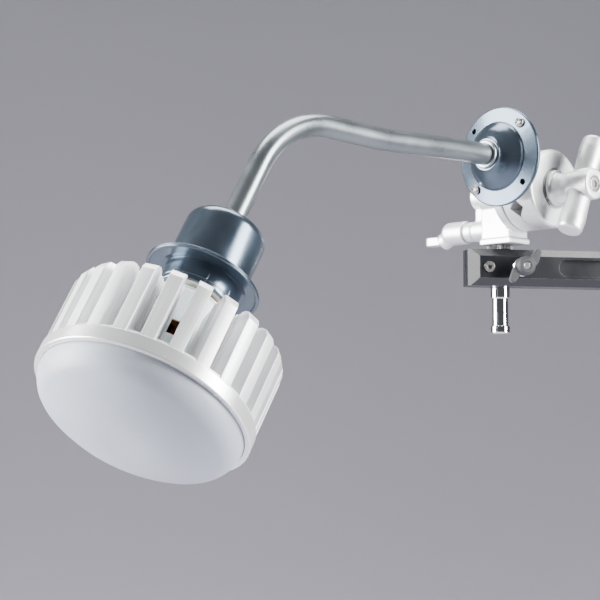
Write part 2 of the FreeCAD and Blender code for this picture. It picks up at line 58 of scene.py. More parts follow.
# ---- fixed sizes, in mm; heights run down the lamp axis from the plane of the brim ----
HOUSING_TOP = -49.0
HOUSING_SKIN = 1.4
PIPE_BORE = 8.75             # radius of the hole for the pipe
COLLAR_RADIUS = 28.0
COLLAR_BORE = 23.8
COLLAR_END = 17.0
SEAM_DEPTH = 0.45
SEAM_HALF_WIDTH = math.radians(0.9)
FIN_LOW = 40.0               # upper edge of a fin
FIN_HOLLOW = 52.7            # nearer to the axis, the fins slope down to the driver case
FIN_FLAT = 69.5              # the upper edge is level out to here
FIN_CHAMFER = 75.0           # and falls away steeply from here
FIN_ROOT = 1.85              # half thickness of a fin between its ribs
RIB_STARTS = (53.4, 56.4, 59.4, 62.4)
SINK_END = 96.6              # lower face of the heat sink
SINK_BORE = 22.0
SINK_HUB = 62.0              # the base is thicker inside this radius
SINK_RIM = 76.8
SCREW_CIRCLE = 33.5          # flange screws, from the flange's axis
SCREW_HEADINGS = (math.radians(135.0), math.radians(315.0))
SCREW_CROWN = 6.9            # height of a screw's crown above the flange's back
SCREW_SIDES = 48
CROSS_REACH = 2.55
CROSS_HALF_WIDTH = 0.5

# ---- stage, in metres ----
EYE_FROM_STUD = Vector((-1.5110, -1.2449, -0.2032))
AIM = Vector((-0.30, 0.05, 0.0))
FLOOR_MIDDLE = (-0.25, 0.05)
FLOOR_FRONT = -12.0
FLOOR_HALF_WIDTH = 12.0
FLOOR_CURVE_START = 2.0
FLOOR_CURVE_RADIUS = 1.6
FLOOR_CURVE_STEPS = 24
BACKDROP_TOP = 9.0
WORLD_COLOUR = (0.80, 0.82, 0.88, 1.0)
WORLD_STRENGTH = 0.10


# ---- settings --------------------------------------------------------------------
def tint(name, description, colour):
    return FloatVectorProperty(name=name, description=description, default=colour,
                               subtype="COLOR", size=3, min=0.0, max=1.0)


class LampFinishes(bpy.types.PropertyGroup):
    bar: tint("Bar black", "Anodised side bar", (0.006, 0.007, 0.010))
    knob: tint("Knob grey", "Moulded wing knob", (0.035, 0.037, 0.042))
    casting: tint("Casting", "Bead-blasted aluminium of the grip head", (0.80, 0.81, 0.82))
    flange: tint("Flange paint", "Powder coat of the flange and socket housing", (0.088, 0.118, 0.155))
    arm: tint("Arm paint", "Satin paint of the bent pipe", (0.21, 0.235, 0.25))
    fins: tint("Fin aluminium", "Extruded fins of the bulb", (0.90, 0.91, 0.92))
    dome: tint("Dome", "Frosted opal cover", (0.47, 0.485, 0.545))
    case: tint("Driver case", "Milky driver case", (0.80, 0.82, 0.84))
    round_cast: FloatProperty(name="Casting edge radius", description="Rounding of cast edges",
                              default=1.6 * MM, min=0.0, unit="LENGTH")


class LampShapes(bpy.types.PropertyGroup):
    fin_count: IntProperty(name="Fins", description="Fins round the heat sink", default=24, min=3)
    fin_phase: FloatProperty(name="Fin phase", description="Heading of the first fin",
                             default=math.radians(2.0), subtype="ANGLE")
    fin_radius: FloatProperty(name="Fin radius", description="Outer faces of the fins, from the lamp axis",
                              default=77.6 * MM, unit="LENGTH")
    rib_height: FloatProperty(name="Rib height", description="Height of the cooling ribs on a fin's sides",
                              default=0.95 * MM, unit="LENGTH")
    brim_radius: FloatProperty(name="Brim radius", description="Outer edge of the housing's brim",
                               default=42.0 * MM, unit="LENGTH")
    housing_radius: FloatProperty(name="Housing radius", description="Cylindrical wall of the socket housing",
                                  default=29.6 * MM, unit="LENGTH")
    collar_seams: IntProperty(name="Collar seams", description="Fine seams round the lamp collar",
                              default=9, min=1)
    recess_depth: FloatProperty(name="Cross recess",
                                description="Depth of the cross recess in a flange screw",
                                default=1.1 * MM, unit="LENGTH")


class LampStage(bpy.types.PropertyGroup):
    floor_height: FloatProperty(name="Floor height", description="Height of the floor below the bar",
                                default=-0.62, unit="LENGTH")
    camera_azimuth: FloatProperty(name="Camera azimuth",
                                  description="Heading of the view, from +Y towards +X",
                                  default=math.radians(45.73), subtype="ANGLE")
    camera_pitch: FloatProperty(name="Camera pitch", description="Upward tilt of the view",
                                default=math.radians(5.2), subtype="ANGLE")
    lens: FloatProperty(name="Lens", description="Focal length in millimetres on a 36 mm sensor",
                        default=144.0, min=1.0)
    key_power: FloatProperty(name="Key light", description="Power of the large soft light",
                             default=52.0, min=0.0, subtype="POWER")
    fill_power: FloatProperty(name="Fill light", description="Power of the fill light",
                              default=40.0, min=0.0, subtype="POWER")
    backdrop_power: FloatProperty(name="Backdrop light", description="Power of the light on the backdrop",
                                  default=30.0, min=0.0, subtype="POWER")
    top_power: FloatProperty(name="Top light", description="Power of the overhead light",
                             default=16.0, min=0.0, subtype="POWER")
    floor_tint: tint("Floor", "Plain pale floor", (0.50, 0.485, 0.55))


# ---- node helpers ----------------------------------------------------------------
def node(tree, kind, **values):
    made = tree.nodes.new(kind)
    for key, value in values.items():
        if hasattr(made, key):
            setattr(made, key, value)
        else:
            made.inputs[key.replace("_", " ")].default_value = value
    return made


def math_node(tree, operation, first, second=None, clamp=False):
    made = tree.nodes.new("ShaderNodeMath")
    made.operation = operation
    made.use_clamp = clamp
    for place, value in enumerate((first, second)):
        if isinstance(value, (int, float)):
            made.inputs[place].default_value = value
        elif value is not None:
            tree.links.new(value, made.inputs[place])
    return made.outputs[0]


def remap(tree, value, low, high, to_low, to_high):
    made = tree.nodes.new("ShaderNodeMapRange")
    tree.links.new(value, made.inputs["Value"])
    for name, number in (("From Min", low), ("From Max", high), ("To Min", to_low), ("To Max", to_high)):
        made.inputs[name].default_value = number
    return made.outputs["Result"]


def new_group(name, inputs, outputs):
    group = bpy.data.node_groups.new(name, "ShaderNodeTree")
    for label, kind, default in inputs:
        socket = group.interface.new_socket(name=label, in_out="INPUT", socket_type=kind)
        socket.default_value = default
    for label, kind in outputs:
        group.interface.new_socket(name=label, in_out="OUTPUT", socket_type=kind)
    return group, group.nodes.new("NodeGroupInput"), group.nodes.new("NodeGroupOutput")


def grain_group():
    """Fine blasted or moulded grain, and a slow mottle."""
    group, given, result = new_group(
        "Surface Grain", [("Scale", "NodeSocketFloat", 2500.0), ("Pits", "NodeSocketFloat", 0.3)],
        [("Height", "NodeSocketFloat"), ("Mottle", "NodeSocketFloat")])
    links = group.links
    place = group.nodes.new("ShaderNodeTexCoord")
    fine = node(group, "ShaderNodeTexNoise", Detail=3.0, Roughness=0.6)
    links.new(place.outputs["Object"], fine.inputs["Vector"])
    links.new(given.outputs["Scale"], fine.inputs["Scale"])
    pits = group.nodes.new("ShaderNodeTexVoronoi")
    links.new(place.outputs["Object"], pits.inputs["Vector"])
    links.new(math_node(group, "MULTIPLY", given.outputs["Scale"], 0.35), pits.inputs["Scale"])
    pit = remap(group, pits.outputs["Distance"], 0.0, 0.35, 1.0, 0.0)
    pitted = math_node(group, "MULTIPLY", pit, given.outputs["Pits"])
    height = math_node(group, "SUBTRACT", fine.outputs[0], pitted)
    links.new(height, result.inputs["Height"])
    slow = node(group, "ShaderNodeTexNoise", Scale=38.0, Detail=4.0, Roughness=0.55)
    links.new(place.outputs["Object"], slow.inputs["Vector"])
    links.new(remap(group, slow.outputs[0], 0.3, 0.7, 0.0, 1.0), result.inputs["Mottle"])
    return group


def edge_group():
    """Rounded-edge normal, and a mask of the worn edge itself."""
    group, given, result = new_group(
        "Worn Edge", [("Radius", "NodeSocketFloat", 0.0005), ("Break Up", "NodeSocketFloat", 400.0)],
        [("Normal", "NodeSocketVector"), ("Mask", "NodeSocketFloat")])
    links = group.links
    bevel = group.nodes.new("ShaderNodeBevel")
    bevel.samples = 4
    links.new(given.outputs["Radius"], bevel.inputs["Radius"])
    links.new(bevel.outputs["Normal"], result.inputs["Normal"])
    flat = group.nodes.new("ShaderNodeNewGeometry")
    dot = group.nodes.new("ShaderNodeVectorMath")
    dot.operation = "DOT_PRODUCT"
    links.new(bevel.outputs["Normal"], dot.inputs[0])
    links.new(flat.outputs["Normal"], dot.inputs[1])
    edge = remap(group, dot.outputs["Value"], 0.995, 0.9, 0.0, 1.0)
    place = group.nodes.new("ShaderNodeTexCoord")
    broken = node(group, "ShaderNodeTexNoise", Detail=4.0)
    links.new(place.outputs["Object"], broken.inputs["Vector"])
    links.new(given.outputs["Break Up"], broken.inputs["Scale"])
    links.new(math_node(group, "MULTIPLY", edge, remap(group, broken.outputs[0], 0.42, 0.6, 0.0, 1.0), True),
              result.inputs["Mask"])
    return group


def axial_split(group, axis):
    """Object-space position, and its length along the given axis."""
    place = group.nodes.new("ShaderNodeTexCoord").outputs["Object"]
    dot = group.nodes.new("ShaderNodeVectorMath")
    dot.operation = "DOT_PRODUCT"
    group.links.new(place, dot.inputs[0])
    group.links.new(axis, dot.inputs[1])
    return place, dot.outputs["Value"]


def drawn_group():
    """Extrusion lines that run along an axis."""
    group, given, result = new_group(
        "Drawn Lines", [("Axis", "NodeSocketVector", (0.0, 0.0, 1.0)), ("Scale", "NodeSocketFloat", 700.0)],
        [("Height", "NodeSocketFloat"), ("Tone", "NodeSocketFloat")])
    links = group.links
    place, reach = axial_split(group, given.outputs["Axis"])
    scaled = group.nodes.new("ShaderNodeVectorMath")
    scaled.operation = "SCALE"
    links.new(given.outputs["Axis"], scaled.inputs[0])
    links.new(math_node(group, "MULTIPLY", reach, 0.985), scaled.inputs["Scale"])
    flat = group.nodes.new("ShaderNodeVectorMath")
    flat.operation = "SUBTRACT"
    links.new(place, flat.inputs[0])
    links.new(scaled.outputs[0], flat.inputs[1])
    lines = node(group, "ShaderNodeTexNoise", Detail=2.0)
    links.new(flat.outputs[0], lines.inputs["Vector"])
    links.new(given.outputs["Scale"], lines.inputs["Scale"])
    links.new(lines.outputs[0], result.inputs["Height"])
    links.new(remap(group, lines.outputs[0], 0.35, 0.65, 0.0, 1.0), result.inputs["Tone"])
    return group


def turned_group():
    """Fine lathe lines around an axis."""
    group, given, result = new_group(
        "Turned Lines", [("Axis", "NodeSocketVector", (0.0, 0.0, 1.0)), ("Scale", "NodeSocketFloat", 2500.0)],
        [("Height", "NodeSocketFloat"), ("Tone", "NodeSocketFloat")])
    links = group.links
    reach = axial_split(group, given.outputs["Axis"])[1]
    lines = node(group, "ShaderNodeTexNoise", noise_dimensions="1D", Detail=3.0)
    links.new(reach, lines.inputs["W"])
    links.new(given.outputs["Scale"], lines.inputs["Scale"])
    links.new(lines.outputs[0], result.inputs["Height"])
    links.new(remap(group, lines.outputs[0], 0.35, 0.65, 0.0, 1.0), result.inputs["Tone"])
    return group


def dust_group():
    """Dust that settles on faces that look upward."""
    group, given, result = new_group(
        "Settled Dust", [("Amount", "NodeSocketFloat", 0.2)], [("Mask", "NodeSocketFloat")])
    links = group.links
    facing = group.nodes.new("ShaderNodeNewGeometry")
    split = group.nodes.new("ShaderNodeSeparateXYZ")
    links.new(facing.outputs["Normal"], split.inputs[0])
    upward = remap(group, split.outputs["Z"], 0.35, 1.0, 0.0, 1.0)
    place = group.nodes.new("ShaderNodeTexCoord")
    patches = node(group, "ShaderNodeTexNoise", Scale=160.0, Detail=6.0, Roughness=0.7)
    links.new(place.outputs["Object"], patches.inputs["Vector"])
    mask = math_node(group, "MULTIPLY", upward, remap(group, patches.outputs[0], 0.35, 0.75, 0.0, 1.0))
    links.new(math_node(group, "MULTIPLY", mask, given.outputs["Amount"], True), result.inputs["Mask"])
    return group


GROUPS = {}


def effect(tree, name, **values):
    if name not in GROUPS:
        makers = {"Surface Grain": grain_group, "Worn Edge": edge_group,
                  "Drawn Lines": drawn_group, "Turned Lines": turned_group, "Settled Dust": dust_group}
        GROUPS[name] = makers[name]()
    made = tree.nodes.new("ShaderNodeGroup")
    made.node_tree = GROUPS[name]
    for key, value in values.items():
        made.inputs[key.replace("_", " ")].default_value = value
    return made


def mix(tree, factor, first, second):
    """Colour mix; each colour is a socket or an RGB triple."""
    made = tree.nodes.new("ShaderNodeMix")
    made.data_type = "RGBA"
    for place, value in ((6, first), (7, second)):
        if isinstance(value, (tuple, list)):
            made.inputs[place].default_value = (*value, 1.0)
        else:
            tree.links.new(value, made.inputs[place])
    if isinstance(factor, float):
        made.inputs[0].default_value = factor
    else:
        tree.links.new(factor, made.inputs[0])
    return made.outputs[2]


def shade(colour, factor):
    return tuple(min(1.0, channel * factor) for channel in colour)


def finish(name, colour, metallic, roughness, grain=2500.0, depth=0.03, pits=0.2, edge=0.0004, wear=None,
           wear_amount=0.5, mottle=0.12, dust=0.1, lines=None, coat=0.0, **constants):
    """A solid finish: mottled colour, worn edges, dust, grain or drawn lines."""
    material = bpy.data.materials.new(name)
    material.use_nodes = True
    tree = material.node_tree
    links = tree.links
    surface = tree.nodes["Principled BSDF"]
    for key, value in constants.items():
        surface.inputs[key.replace("_", " ")].default_value = value
    surface.inputs["Metallic"].default_value = metallic
    surface.inputs["Coat Weight"].default_value = coat
    texture = effect(tree, "Surface Grain", Scale=grain, Pits=pits)
    rounded = effect(tree, "Worn Edge", Radius=edge)
    settled = effect(tree, "Settled Dust", Amount=dust)
    tone = mix(tree, texture.outputs["Mottle"], shade(colour, 1.0 - mottle), shade(colour, 1.0 + mottle))
    height = texture.outputs["Height"]
    if lines:
        kind, axis, scale, darken = lines
        drawn = effect(tree, kind, Axis=axis, Scale=scale)
        tone = mix(tree, math_node(tree, "MULTIPLY", drawn.outputs["Tone"], darken), tone, shade(colour, 0.6))
        height = math_node(tree, "ADD", height, math_node(tree, "MULTIPLY", drawn.outputs["Height"], 2.0))
    if wear:
        tone = mix(tree, math_node(tree, "MULTIPLY", rounded.outputs["Mask"], wear_amount), tone, wear)
    tone = mix(tree, settled.outputs["Mask"], tone, (0.55, 0.54, 0.52))
    links.new(tone, surface.inputs["Base Color"])
    rough = remap(tree, texture.outputs["Mottle"], 0.0, 1.0, roughness * 0.85, min(1.0, roughness * 1.15))
    links.new(math_node(tree, "ADD", rough, math_node(tree, "MULTIPLY", settled.outputs["Mask"], 0.5), True),
              surface.inputs["Roughness"])
    bump = node(tree, "ShaderNodeBump", Strength=depth, Distance=0.0002)
    links.new(height, bump.inputs["Height"])
    links.new(rounded.outputs["Normal"], bump.inputs["Normal"])
    links.new(bump.outputs["Normal"], surface.inputs["Normal"])
    return material


def make_finishes(look):
    """One material for each slot of the record."""
    lamp_axis = tuple(JOINTS["bulb_turn"]["axis"])
    return {
        "bar_black": finish(
            "bar_black", tuple(look.bar), metallic=0.0, roughness=0.34, grain=1800.0, depth=0.05,
            wear=(0.3, 0.31, 0.33), edge=0.0006, coat=0.15, wear_amount=0.35),
        "knob_black": finish(
            "knob_black", tuple(look.knob), metallic=0.0, roughness=0.62, grain=1400.0, depth=0.35, pits=0.5,
            edge=0.001),
        "chrome": finish(
            "chrome", (0.86, 0.87, 0.89), metallic=1.0, roughness=0.07, grain=1200.0, depth=0.01, mottle=0.02,
            dust=0.04),
        "steel": finish(
            "steel", (0.5, 0.49, 0.47), metallic=1.0, roughness=0.32, grain=2200.0, depth=0.08, mottle=0.12),
        "casting": finish(
            "casting", tuple(look.casting), metallic=0.82, roughness=0.42, grain=2600.0, depth=0.22,
            pits=0.35, edge=look.round_cast, wear=(0.95, 0.95, 0.95), mottle=0.05, dust=0.05),
        "fibre": finish(
            "fibre", (0.06, 0.06, 0.065), metallic=0.0, roughness=0.85, grain=1500.0, depth=0.4, mottle=0.3),
        "flange_paint": finish(
            "flange_paint", tuple(look.flange), metallic=0.8, roughness=0.22, grain=2400.0, depth=0.06,
            edge=0.0006, wear=(0.4, 0.44, 0.48), wear_amount=0.25, coat=0.2),
        "arm_paint": finish(
            "arm_paint", tuple(look.arm), metallic=0.85, roughness=0.3, grain=2600.0, depth=0.05, edge=0.0004,
            coat=0.15, mottle=0.05),
        "rubber": finish(
            "rubber", (0.045, 0.05, 0.055), metallic=0.0, roughness=0.75, grain=1800.0, depth=0.3),
        "gasket": finish(
            "gasket", (0.74, 0.66, 0.5), metallic=0.0, roughness=0.6, grain=1800.0, depth=0.15),
        "ceramic": finish(
            "ceramic", (0.82, 0.81, 0.77), metallic=0.0, roughness=0.18, grain=900.0, depth=0.03, coat=0.4,
            mottle=0.04),
        "brass": finish(
            "brass", (0.78, 0.6, 0.3), metallic=1.0, roughness=0.25, grain=2000.0, depth=0.06),
        "fin_aluminium": finish(
            "fin_aluminium", tuple(look.fins), metallic=0.3, roughness=0.38, grain=2400.0, depth=0.05,
            edge=0.0005, mottle=0.03, lines=("Drawn Lines", lamp_axis, 700.0, 0.3), dust=0.03,
            wear=(1.0, 1.0, 1.0), wear_amount=0.4),
        "bezel": finish(
            "bezel", (0.92, 0.92, 0.93), metallic=0.55, roughness=0.26, grain=2000.0, depth=0.04, mottle=0.02,
            dust=0.0, edge=0.0006, lines=("Turned Lines", lamp_axis, 2200.0, 0.2)),
        "diffuser": finish(
            "diffuser", tuple(look.dome), metallic=0.0, roughness=0.42, grain=1600.0, depth=0.03, mottle=0.02,
            dust=0.0, Subsurface_Weight=0.25, Subsurface_Scale=0.02),
        "case": finish(
            "case", tuple(look.case), metallic=0.0, roughness=0.3, grain=1400.0, depth=0.03, mottle=0.04,
            coat=0.2, Subsurface_Weight=0.4, Subsurface_Scale=0.01),
        "board": finish(
            "board", (0.07, 0.24, 0.12), metallic=0.0, roughness=0.35, grain=1500.0, depth=0.1),
        "led_white": finish(
            "led_white", (0.86, 0.86, 0.85), metallic=0.0, roughness=0.4, grain=1500.0, depth=0.05),
        "led_yellow": finish(
            "led_yellow", (0.9, 0.78, 0.28), metallic=0.0, roughness=0.35, grain=1500.0, depth=0.1),
        "black_part": finish(
            "black_part", (0.03, 0.03, 0.035), metallic=0.0, roughness=0.35, grain=1500.0, depth=0.1),
        "wire_white": finish(
            "wire_white", (0.8, 0.8, 0.79), metallic=0.0, roughness=0.45, grain=1500.0, depth=0.05),
    }


FINISHES = {}


class LAMP_OT_finishes(bpy.types.Operator):
    """Gives every carried-over node the finish of its material slot"""
    bl_idname = "lamp.finishes"
    bl_label = "Finishes"

    def execute(self, context):
        FINISHES.update(make_finishes(context.scene.lamp_finishes))
        for name, piece in NODES.items():
            piece.data.materials.clear()
            piece.data.materials.append(FINISHES[SLOT_OF[name]])
        return {"FINISHED"}


# ---- shape helpers -----------------------------------------------------------------
def soften(piece, voxel, passes):
    """Rebuilds a blocky casting or moulding with flowing edges."""
    remesh = piece.modifiers.new("Flow", "REMESH")
    remesh.mode = "VOXEL"
    remesh.voxel_size = voxel
    remesh.use_smooth_shade = True
    smooth = piece.modifiers.new("Ease", "SMOOTH")
    smooth.factor = 0.5
    smooth.iterations = passes


def seat(joint):
    """Own frame of a piece on a joint's axis: Z along it, Y across the bend of the arm. Lengths in mm."""
    across = Vector(JOINTS["arm_roll"]["axis"]).cross(Vector(JOINTS["bulb_turn"]["axis"])).normalized()
    axis = Vector(JOINTS[joint]["axis"])
    columns = Matrix((across.cross(axis), across, axis)).transposed()
    return Matrix.Translation(Vector(JOINTS[joint]["pos_m"])) @ columns.to_4x4() @ Matrix.Scale(MM, 4)


def rounded(profile, steps=6):
    """Plain points from (radius, height[, corner radius]) corners of a closed outline."""
    points = []
    for i, corner in enumerate(profile):
        here = Vector(corner[:2])
        if len(corner) < 3:
            points.append(here)
            continue
        back = (Vector(profile[i - 1][:2]) - here).normalized()
        ahead = (Vector(profile[(i + 1) % len(profile)][:2]) - here).normalized()
        half = back.angle(ahead) / 2.0
        centre = here + (back + ahead).normalized() * (corner[2] / math.sin(half))
        first = here + back * (corner[2] / math.tan(half)) - centre
        last = here + ahead * (corner[2] / math.tan(half)) - centre
        sweep = first.angle(last)
        for step in range(steps + 1):
            part = step / steps
            points.append(centre + (first * math.sin((1 - part) * sweep) + last * math.sin(part * sweep))
                          / math.sin(sweep))
    return points


def even_headings(count):
    return [2 * math.pi * i / count for i in range(count)]


def lathe(bm, profile, headings, dent=None):
    """Closed ring turned about Z; dent(heading, radius, height) gives a depth to sink a point by."""
    points = rounded(profile)
    rings = []
    for heading in headings:
        column = []
        for radius, height in points:
            sunk = radius - (dent(heading, radius, height) if dent else 0.0)
            column.append(bm.verts.new((sunk * math.cos(heading), sunk * math.sin(heading), height)))
        rings.append(column)
    for here, after in zip(rings, rings[1:] + rings[:1]):
        for i in range(len(points)):
            j = (i + 1) % len(points)
            bm.faces.new((here[i], here[j], after[j], after[i]))


def add_piece(name, bm, place, body, slot, replaced=(), sharp=32.0):
    """Turns a bmesh into a finished piece that rides on a body."""
    bmesh.ops.recalc_face_normals(bm, faces=bm.faces)
    mesh = bpy.data.meshes.new(name)
    bm.to_mesh(mesh)
    bm.free()
    mesh.transform(place)
    mesh.shade_smooth()
    mesh.set_sharp_from_angle(angle=math.radians(sharp))
    mesh.materials.append(FINISHES[slot])
    piece = bpy.data.objects.new(name, mesh)
    bpy.context.scene.collection.objects.link(piece)
    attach(piece, body)
    if replaced:
        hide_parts(*replaced)


class LAMP_OT_castings(bpy.types.Operator):
    """Softens the cast and moulded pieces"""
    bl_idname = "lamp.castings"
    bl_label = "Castings"

    def execute(self, context):
        for name, voxel, passes in (("head_casting", 0.6 * MM, 8), ("t_handle", 0.5 * MM, 8),
                                    ("lock_handle", 0.4 * MM, 8), ("near_wing_knob", 0.3 * MM, 6),
                                    ("far_wing_knob", 0.3 * MM, 6)):
            soften(NODES[name], voxel, passes)
        return {"FINISHED"}


# ---- socket housing and collar -----------------------------------------------------
class LAMP_OT_housing(bpy.types.Operator):
    """Spun socket housing with a two-layer brim, and the seamed collar inside it"""
    bl_idname = "lamp.housing"
    bl_label = "Socket housing"

    def execute(self, context):
        shapes = context.scene.lamp_shapes
        wall = shapes.housing_radius / MM
        brim = shapes.brim_radius / MM
        top = HOUSING_TOP
        inside = wall - HOUSING_SKIN
        neck = [(PIPE_BORE, top), (PIPE_BORE + 2.2, top), (PIPE_BORE + 2.6, top + 0.25),
                (PIPE_BORE + 3.4, top + 0.25), (PIPE_BORE + 3.8, top)]
        side = [(wall, top, 9.0), (wall, -8.0), (wall + 0.25, -7.7), (wall + 0.25, -3.2),
                (wall + 0.25, -1.3, 1.4)]
        upper_layer = [(brim - 0.4, -1.3, 0.35), (brim, -0.9, 0.25), (brim, -0.25, 0.2), (brim - 1.1, -0.2)]
        lower_layer = [(brim - 1.1, 0.25), (brim, 0.3, 0.2), (brim, 1.4, 0.5), (brim - 2.2, 1.4, 0.4),
                       (brim - 2.8, 0.5, 0.4), (wall + 2.5, 0.35, 0.6), (wall + 1.2, -0.1)]
        lining = [(inside, -0.1), (inside, top + HOUSING_SKIN, 7.6), (PIPE_BORE, top + HOUSING_SKIN)]
        outline = neck + side + upper_layer + lower_layer + lining
        bm = bmesh.new()
        lathe(bm, outline, even_headings(160))
        add_piece("spun_housing", bm, seat("bulb_turn"), "arm", "flange_paint", ["socket_housing"])

        seams = even_headings(shapes.collar_seams)
        headings = even_headings(144)
        for seam in seams:
            headings += [seam + SEAM_HALF_WIDTH * share for share in (-1.0, -0.55, 0.55, 1.0)]
        headings = sorted(set(round(heading % (2 * math.pi), 5) for heading in headings))

        def seam_dent(heading, radius, height):
            if radius < 26.5 or height < 1.0:
                return 0.0
            nearest = min(abs((heading - seam + math.pi) % (2 * math.pi) - math.pi) for seam in seams)
            return SEAM_DEPTH if nearest < 0.8 * SEAM_HALF_WIDTH else 0.0

        bm = bmesh.new()
        outer = inside - 0.1
        sleeve = [(COLLAR_BORE, -7.0), (outer, -7.0, 0.4), (outer, 0.0), (COLLAR_RADIUS, 0.1)]
        groove = [(COLLAR_RADIUS, 12.6), (COLLAR_RADIUS - 0.3, 12.8), (COLLAR_RADIUS - 0.3, 13.4),
                  (COLLAR_RADIUS, 13.6)]
        mouth = [(COLLAR_RADIUS, COLLAR_END, 1.2), (26.2, COLLAR_END, 0.4), (25.4, 15.9, 0.4),
                 (COLLAR_BORE, 15.6)]
        lathe(bm, sleeve + groove + mouth, headings, seam_dent)
        add_piece("seamed_collar", bm, seat("bulb_turn"), "arm", "flange_paint", ["lamp_collar"])
        return {"FINISHED"}


# ---- heat sink ------------------------------------------------------------------------
def fin_top(radius):
    """Height of a fin's upper edge: sloped near the lamp axis, chamfered at the outside."""
    if radius < FIN_HOLLOW:
        return FIN_LOW + 0.647 * (FIN_HOLLOW - radius)
    if radius < FIN_FLAT:
        return FIN_LOW
    if radius < FIN_CHAMFER:
        return FIN_LOW + 0.327 * (radius - FIN_FLAT)
    return FIN_LOW + 1.8 + 1.839 * (radius - FIN_CHAMFER)


def fin_half(outer, rib):
    """(radius, half thickness) along one side of a fin: root, ribs, then the box-shaped outer edge."""
    half = [(41.0, 1.5), (52.0, 1.8), (FIN_HOLLOW, 1.8)]
    for start in RIB_STARTS:
        half += [(start, FIN_ROOT), (start + 0.25, FIN_ROOT + rib), (start + 1.15, FIN_ROOT + rib),
                 (start + 1.4, FIN_ROOT)]
    half += [(64.6, 2.2), (65.8, 3.9), (69.2, 4.2), (69.35, 3.8), (69.9, 3.8), (70.05, 4.95),
             (FIN_CHAMFER, 5.05), (outer - 0.45, 5.1), (outer - 0.1, 4.9), (outer, 4.55)]
    return half


def add_fin(bm, half, spin):
    """One fin; spin turns it to its place round the lamp axis."""
    rows = []
    for radius, width in half:
        rows.append([bm.verts.new(spin @ Vector((radius, side * width, height)))
                     for side in (1, -1) for height in (fin_top(radius), SINK_END - 0.02)])
    for here, after in zip(rows, rows[1:]):
        for first, second in ((0, 1), (1, 3), (3, 2), (2, 0)):
            bm.faces.new((here[first], here[second], after[second], after[first]))
    bm.faces.new([rows[0][i] for i in (0, 2, 3, 1)])
    bm.faces.new([rows[-1][i] for i in (0, 1, 3, 2)])


class LAMP_OT_heat_sink(bpy.types.Operator):
    """Finned heat sink with ribbed fins on a round base"""
    bl_idname = "lamp.heat_sink"
    bl_label = "Heat sink"

    def execute(self, context):
        shapes = context.scene.lamp_shapes
        bm = bmesh.new()
        half = fin_half(shapes.fin_radius / MM, shapes.rib_height / MM)
        for turn in even_headings(shapes.fin_count):
            add_fin(bm, half, Matrix.Rotation(turn + shapes.fin_phase, 3, "Z"))
        lathe(bm, [(SINK_BORE, SINK_END - 7), (SINK_HUB, SINK_END - 7, 1.0), (SINK_HUB, SINK_END - 2.2, 0.6),
                   (SINK_RIM, SINK_END - 2, 0.3), (SINK_RIM, SINK_END), (SINK_BORE, SINK_END)],
              even_headings(144))
        add_piece("ribbed_heat_sink", bm, seat("bulb_turn"), "bulb", "fin_aluminium", ["heat_sink"], 25.0)
        return {"FINISHED"}


# ---- small fittings ---------------------------------------------------------------------
def add_cross_screw(bm, centre, depth):
    """Domed screw with a cross recess, from its crown to the end of its shank."""
    outline = [(0.25 * step, SCREW_CROWN - 0.11 * (0.25 * step) ** 2) for step in range(1, 16)]
    outline += [(4.0, 4.9), (4.0, 4.7), (2.1, 4.6), (2.1, -2.9)]
    rings = []
    for radius, height in outline:
        ring = []
        for heading in even_headings(SCREW_SIDES):
            x = radius * math.cos(heading)
            y = radius * math.sin(heading)
            inside = radius < CROSS_REACH and min(abs(x), abs(y)) < CROSS_HALF_WIDTH
            ring.append(bm.verts.new(centre + Vector((x, y, height - (depth if inside else 0.0)))))
        rings.append(ring)
    for here, after in zip(rings, rings[1:]):
        for i in range(SCREW_SIDES):
            j = (i + 1) % SCREW_SIDES
            bm.faces.new((here[i], here[j], after[j], after[i]))
    bm.faces.new(rings[0])
    bm.faces.new(rings[-1])


class LAMP_OT_fittings(bpy.types.Operator):
    """Cross-recessed flange screws and the ring round the driver case's neck"""
    bl_idname = "lamp.fittings"
    bl_label = "Small fittings"

    def execute(self, context):
        depth = context.scene.lamp_shapes.recess_depth / MM
        bm = bmesh.new()
        for turn in SCREW_HEADINGS:
            centre = Vector((SCREW_CIRCLE * math.cos(turn), SCREW_CIRCLE * math.sin(turn), 0.0))
            add_cross_screw(bm, centre, depth)
        add_piece("cross_screws", bm, seat("arm_roll"), "arm", "steel", ["flange_screws"])

        bm = bmesh.new()
        lathe(bm, [(18.6, 17.4), (19.3, 17.2, 0.2), (21.6, 19.0, 0.4), (25.4, 21.2, 0.3), (25.2, 22.0),
                   (20.8, 19.9)], even_headings(96))
        add_piece("case_band", bm, seat("bulb_turn"), "bulb", "case")
        return {"FINISHED"}


# ---- stage -----------------------------------------------------------------------
def soft_light(name, place, aim, width, height, power, spread=100.0):
    data = bpy.data.lights.new(name, "AREA")
    data.shape = "RECTANGLE"
    data.size = width
    data.size_y = height
    data.energy = power
    data.spread = math.radians(spread)
    light = bpy.data.objects.new(name, data)
    light.location = place
    light.rotation_mode = "QUATERNION"
    light.rotation_quaternion = (Vector(aim) - Vector(place)).to_track_quat("-Z", "Y")
    bpy.context.scene.collection.objects.link(light)


